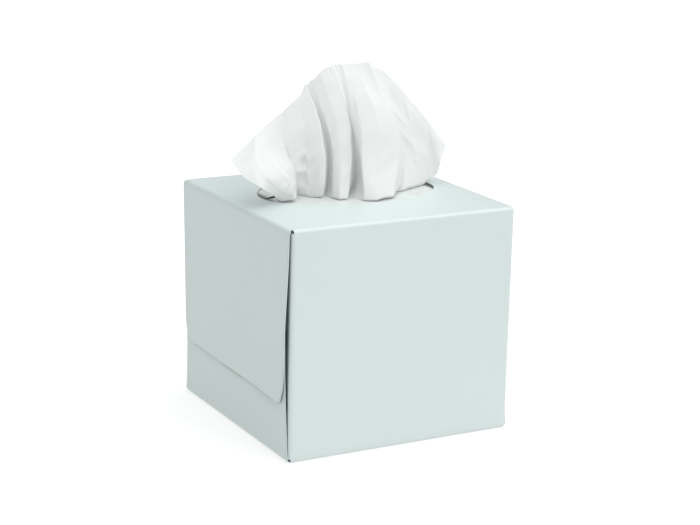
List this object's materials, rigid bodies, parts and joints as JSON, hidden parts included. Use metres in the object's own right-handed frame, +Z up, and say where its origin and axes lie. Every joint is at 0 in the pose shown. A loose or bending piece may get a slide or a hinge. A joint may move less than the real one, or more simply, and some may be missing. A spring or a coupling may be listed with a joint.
{
  "type": "tissue box",
  "caption": "Cube carton of facial tissues with an oval mouth, a slit dispensing film and one pleated sheet pulled up ready to take.",
  "frame": {"origin": "on the floor under the middle of the box", "axes": "+X along the slit and the box's length between its end flaps, +Y from the front panel to the back panel, +Z up through the mouth"},
  "size_m": [0.11, 0.107, 0.158],
  "materials": {
    "carton_board": "satin coated white board with a cool grey cast, uncoated inside",
    "clear_film": "thin hazy polyethylene film",
    "hot_melt": "dull translucent adhesive",
    "tissue_paper": "soft matt crepe tissue, two plies"
  },
  "bodies": {
    "root": {"carton": "carton_board", "dispensing_film": "clear_film", "flap_glue": "hot_melt", "tissue_stack": "tissue_paper", "pulled_tissue": "tissue_paper"}
  },
  "joints": []
}
